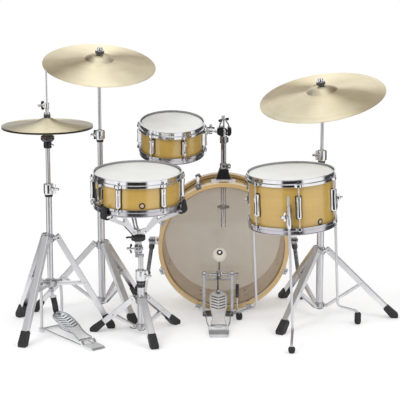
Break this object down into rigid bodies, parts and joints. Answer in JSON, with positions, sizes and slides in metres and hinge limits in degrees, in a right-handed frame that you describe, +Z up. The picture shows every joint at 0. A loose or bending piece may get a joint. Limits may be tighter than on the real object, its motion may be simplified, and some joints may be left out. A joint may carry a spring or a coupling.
{
  "type": "acoustic drum kit",
  "caption": "Acoustic drum kit in lacquered maple: bass drum with pedal, rack tom, floor tom, snare on its stand, hi-hat, crash and ride cymbals on chrome tripod stands.",
  "frame": {"origin": "middle of the kit's footprint, on the floor", "axes": "+X along the kit's width to the drummer's right, +Y from the drummer towards the bass drum, +Z up"},
  "size_m": [1.5891, 0.8535, 1.1075],
  "materials": {
    "chrome": "bright chrome plate",
    "dark_steel": "black satin",
    "maple": "clear lacquered maple",
    "hoop_wood": "clear lacquered maple",
    "coated_film": "white coated film",
    "clear_film": "clear film",
    "cymbal_brass": "lathed cymbal bronze",
    "pedal_aluminium": "cast and brushed"
  },
  "bodies": {
    "kit": {"bass_shell": "maple", "bass_batter_hoop": "hoop_wood", "bass_front_hoop": "hoop_wood", "bass_batter_head": "clear_film", "bass_front_head": "coated_film", "tom_mount_base": "dark_steel", "pedal_frame": "pedal_aluminium", "pedal_spring": "dark_steel", "floor_tom_shell": "maple", "floor_tom_batter_hoop": "chrome", "floor_tom_bottom_hoop": "chrome", "floor_tom_batter_head": "coated_film", "snare_stand_base": "chrome", "hihat_stand_base": "chrome", "crash_stand_base": "chrome", "ride_stand_base": "chrome"},
    "tom_pipe": {"tom_mount_pipe": "chrome"},
    "tom_arm": {"tom_holder": "chrome"},
    "rack_tom": {"rack_tom_shell": "maple", "rack_tom_batter_hoop": "chrome", "rack_tom_bottom_hoop": "chrome", "rack_tom_batter_head": "coated_film"},
    "spur_left_leg": {"spur_left": "dark_steel"},
    "spur_right_leg": {"spur_right": "dark_steel"},
    "pedal_board": {"pedal_footboard": "pedal_aluminium"},
    "beater": {"pedal_beater": "chrome"},
    "floor_leg_1": {"floor_tom_leg_1": "chrome"},
    "floor_leg_2": {"floor_tom_leg_2": "chrome"},
    "floor_leg_3": {"floor_tom_leg_3": "chrome"},
    "snare_post": {"snare_stand_post": "chrome"},
    "snare_basket": {"snare_stand_basket": "chrome", "snare_shell": "maple", "snare_batter_hoop": "chrome", "snare_side_hoop": "chrome", "snare_batter_head": "coated_film", "snare_side_head": "clear_film"},
    "strainer_lever": {"snare_strainer_lever": "chrome"},
    "hihat_tube": {"hihat_upper_tube": "chrome", "hihat_bottom_cymbal": "cymbal_brass"},
    "hihat_board": {"hihat_footboard": "pedal_aluminium"},
    "hihat_rod": {"hihat_pull_rod": "chrome", "hihat_top_cymbal": "cymbal_brass"},
    "crash_upright": {"crash_post": "chrome"},
    "crash_tilt_head": {"crash_tilter": "dark_steel"},
    "crash_plate": {"crash_cymbal": "cymbal_brass"},
    "ride_upright": {"ride_post": "chrome"},
    "ride_tilt_head": {"ride_tilter": "dark_steel"},
    "ride_plate": {"ride_cymbal": "cymbal_brass"},
    "crash_stand_foot_1": {"crash_stand_leg_1": "chrome"},
    "crash_stand_foot_2": {"crash_stand_leg_2": "chrome"},
    "crash_stand_foot_3": {"crash_stand_leg_3": "chrome"},
    "ride_stand_foot_1": {"ride_stand_leg_1": "chrome"},
    "ride_stand_foot_2": {"ride_stand_leg_2": "chrome"},
    "ride_stand_foot_3": {"ride_stand_leg_3": "chrome"},
    "snare_stand_foot_1": {"snare_stand_leg_1": "chrome"},
    "snare_stand_foot_2": {"snare_stand_leg_2": "chrome"},
    "snare_stand_foot_3": {"snare_stand_leg_3": "chrome"},
    "hihat_stand_foot_1": {"hihat_stand_leg_1": "chrome"},
    "hihat_stand_foot_2": {"hihat_stand_leg_2": "chrome"},
    "hihat_stand_foot_3": {"hihat_stand_leg_3": "chrome"}
  },
  "joints": [
    {"name": "tom_height", "type": "slide", "parent": "kit", "child": "tom_pipe", "axis": [0, 0, 1], "range_m": [-0.05, 0.06]},
    {"name": "tom_swivel", "type": "hinge", "parent": "tom_pipe", "child": "tom_arm", "pos_m": [0.0753, 0.2667, 0.744], "axis": [0, 0, 1], "range_deg": [-15, 15]},
    {"name": "tom_tilt", "type": "hinge", "parent": "tom_arm", "child": "rack_tom", "pos_m": [0.0753, 0.2667, 0.744], "axis": [1, 0, 0], "range_deg": [-10, 10]},
    {"name": "spur_left_fold", "type": "hinge", "parent": "kit", "child": "spur_left_leg", "pos_m": [-0.2087, 0.2667, 0.2775], "axis": [1, 0, 0], "range_deg": [0, 70]},
    {"name": "spur_right_fold", "type": "hinge", "parent": "kit", "child": "spur_right_leg", "pos_m": [0.3593, 0.2667, 0.2775], "axis": [1, 0, 0], "range_deg": [0, 70]},
    {"name": "pedal_press", "type": "hinge", "parent": "kit", "child": "pedal_board", "pos_m": [0.0518, -0.1303, 0.02], "axis": [-1, 0, 0], "range_deg": [0, 14]},
    {"name": "beater_swing", "type": "hinge", "parent": "kit", "child": "beater", "pos_m": [0.0518, 0.1047, 0.172], "axis": [-1, 0, 0], "range_deg": [0, 60], "stiffness_Nm_per_rad": 1, "springref_deg": -28.65, "deforming": ["pedal_spring"]},
    {"name": "floor_tom_leg_1_slide", "type": "slide", "parent": "kit", "child": "floor_leg_1", "axis": [-0.0471, -0.0261, 0.9985], "range_m": [-0.04, 0.05]},
    {"name": "floor_tom_leg_2_slide", "type": "slide", "parent": "kit", "child": "floor_leg_2", "axis": [-0.0471, -0.0261, 0.9985], "range_m": [-0.04, 0.05]},
    {"name": "floor_tom_leg_3_slide", "type": "slide", "parent": "kit", "child": "floor_leg_3", "axis": [-0.0471, -0.0261, 0.9985], "range_m": [-0.04, 0.05]},
    {"name": "snare_height", "type": "slide", "parent": "kit", "child": "snare_post", "axis": [0, 0, 1], "range_m": [-0.045, 0.03]},
    {"name": "snare_tilt", "type": "hinge", "parent": "snare_post", "child": "snare_basket", "pos_m": [-0.2642, -0.1723, 0.35], "axis": [1, 0, 0], "range_deg": [-10, 10]},
    {"name": "strainer_throw", "type": "hinge", "parent": "snare_basket", "child": "strainer_lever", "pos_m": [-0.41083, -0.2953, 0.56377], "axis": [0.6018, -0.7973, -0.046], "range_deg": [0, 70]},
    {"name": "hihat_height", "type": "slide", "parent": "kit", "child": "hihat_tube", "axis": [0, 0, 1], "range_m": [-0.06, 0]},
    {"name": "hihat_press", "type": "hinge", "parent": "kit", "child": "hihat_board", "pos_m": [-0.46278, -0.3113, 0.02], "axis": [-0.788, -0.6157, 0], "range_deg": [0, 1.4]},
    {"name": "hihat_rod_slide", "type": "slide", "parent": "kit", "child": "hihat_rod", "axis": [0, 0, -1], "range_m": [0, 0.0041], "stiffness_N_per_m": 2000, "springref_m": -0.02},
    {"name": "crash_height", "type": "slide", "parent": "kit", "child": "crash_upright", "axis": [0, 0, 1], "range_m": [-0.04, 0.12]},
    {"name": "crash_tilt", "type": "hinge", "parent": "crash_upright", "child": "crash_tilt_head", "pos_m": [-0.4307, 0.1577, 1.025], "axis": [1, 0, 0], "range_deg": [-15, 10]},
    {"name": "crash_spin", "type": "hinge", "parent": "crash_tilt_head", "child": "crash_plate", "pos_m": [-0.4307, 0.1577, 1.025], "axis": [0.0767, -0.2581, 0.9631], "continuous": true},
    {"name": "ride_height", "type": "slide", "parent": "kit", "child": "ride_upright", "axis": [0, 0, 1], "range_m": [-0.06, 0.12]},
    {"name": "ride_tilt", "type": "hinge", "parent": "ride_upright", "child": "ride_tilt_head", "pos_m": [0.4693, 0.0847, 0.909], "axis": [1, 0, 0], "range_deg": [-15, 10]},
    {"name": "ride_spin", "type": "hinge", "parent": "ride_tilt_head", "child": "ride_plate", "pos_m": [0.4693, 0.0847, 0.909], "axis": [-0.1599, -0.2321, 0.9595], "continuous": true},
    {"name": "crash_stand_leg_1_fold", "type": "hinge", "parent": "kit", "child": "crash_stand_foot_1", "pos_m": [-0.41319, 0.12856, 0.286], "axis": [0.8572, 0.515, 0], "range_deg": [0, 36]},
    {"name": "crash_stand_leg_2_fold", "type": "hinge", "parent": "kit", "child": "crash_stand_foot_2", "pos_m": [-0.41422, 0.18744, 0.286], "axis": [-0.8746, 0.4848, 0], "range_deg": [0, 36]},
    {"name": "crash_stand_leg_3_fold", "type": "hinge", "parent": "kit", "child": "crash_stand_foot_3", "pos_m": [-0.46469, 0.15711, 0.286], "axis": [0.0175, -0.9998, 0], "range_deg": [0, 36]},
    {"name": "ride_stand_leg_1_fold", "type": "hinge", "parent": "kit", "child": "ride_stand_foot_1", "pos_m": [0.45029, 0.05651, 0.279], "axis": [0.829, -0.5592, 0], "range_deg": [0, 34]},
    {"name": "ride_stand_leg_2_fold", "type": "hinge", "parent": "kit", "child": "ride_stand_foot_2", "pos_m": [0.50322, 0.08233, 0.279], "axis": [0.0698, 0.9976, 0], "range_deg": [0, 34]},
    {"name": "ride_stand_leg_3_fold", "type": "hinge", "parent": "kit", "child": "ride_stand_foot_3", "pos_m": [0.4544, 0.11526, 0.279], "axis": [-0.8988, -0.4384, 0], "range_deg": [0, 34]},
    {"name": "snare_stand_leg_1_fold", "type": "hinge", "parent": "kit", "child": "snare_stand_foot_1", "pos_m": [-0.24526, -0.20481, 0.143], "axis": [0.9563, 0.2924, 0], "range_deg": [0, 40]},
    {"name": "snare_stand_leg_2_fold", "type": "hinge", "parent": "kit", "child": "snare_stand_foot_2", "pos_m": [-0.23201, -0.14743, 0.143], "axis": [-0.7314, 0.682, 0], "range_deg": [0, 40]},
    {"name": "snare_stand_leg_3_fold", "type": "hinge", "parent": "kit", "child": "snare_stand_foot_3", "pos_m": [-0.28833, -0.16465, 0.143], "axis": [-0.225, -0.9744, 0], "range_deg": [0, 40]},
    {"name": "hihat_stand_leg_1_fold", "type": "hinge", "parent": "kit", "child": "hihat_stand_foot_1", "pos_m": [-0.62944, -0.14582, 0.379], "axis": [0.9272, -0.3746, 0], "range_deg": [0, 16]},
    {"name": "hihat_stand_leg_2_fold", "type": "hinge", "parent": "kit", "child": "hihat_stand_foot_2", "pos_m": [-0.58303, -0.10957, 0.379], "axis": [-0.1392, 0.9903, 0], "range_deg": [0, 16]},
    {"name": "hihat_stand_leg_3_fold", "type": "hinge", "parent": "kit", "child": "hihat_stand_foot_3", "pos_m": [-0.63763, -0.08751, 0.379], "axis": [-0.788, -0.6157, 0], "range_deg": [0, 16]}
  ],
  "couplings": [
    {"joint": "beater_swing", "follows": "pedal_press", "ratio": 4.25},
    {"joint": "hihat_rod_slide", "follows": "hihat_press", "m_per_rad": 0.165},
    {"joint": "crash_stand_leg_2_fold", "follows": "crash_stand_leg_1_fold", "ratio": 1},
    {"joint": "crash_stand_leg_3_fold", "follows": "crash_stand_leg_1_fold", "ratio": 1},
    {"joint": "ride_stand_leg_2_fold", "follows": "ride_stand_leg_1_fold", "ratio": 1},
    {"joint": "ride_stand_leg_3_fold", "follows": "ride_stand_leg_1_fold", "ratio": 1},
    {"joint": "snare_stand_leg_2_fold", "follows": "snare_stand_leg_1_fold", "ratio": 1},
    {"joint": "snare_stand_leg_3_fold", "follows": "snare_stand_leg_1_fold", "ratio": 1},
    {"joint": "hihat_stand_leg_2_fold", "follows": "hihat_stand_leg_1_fold", "ratio": 1},
    {"joint": "hihat_stand_leg_3_fold", "follows": "hihat_stand_leg_1_fold", "ratio": 1}
  ]
}
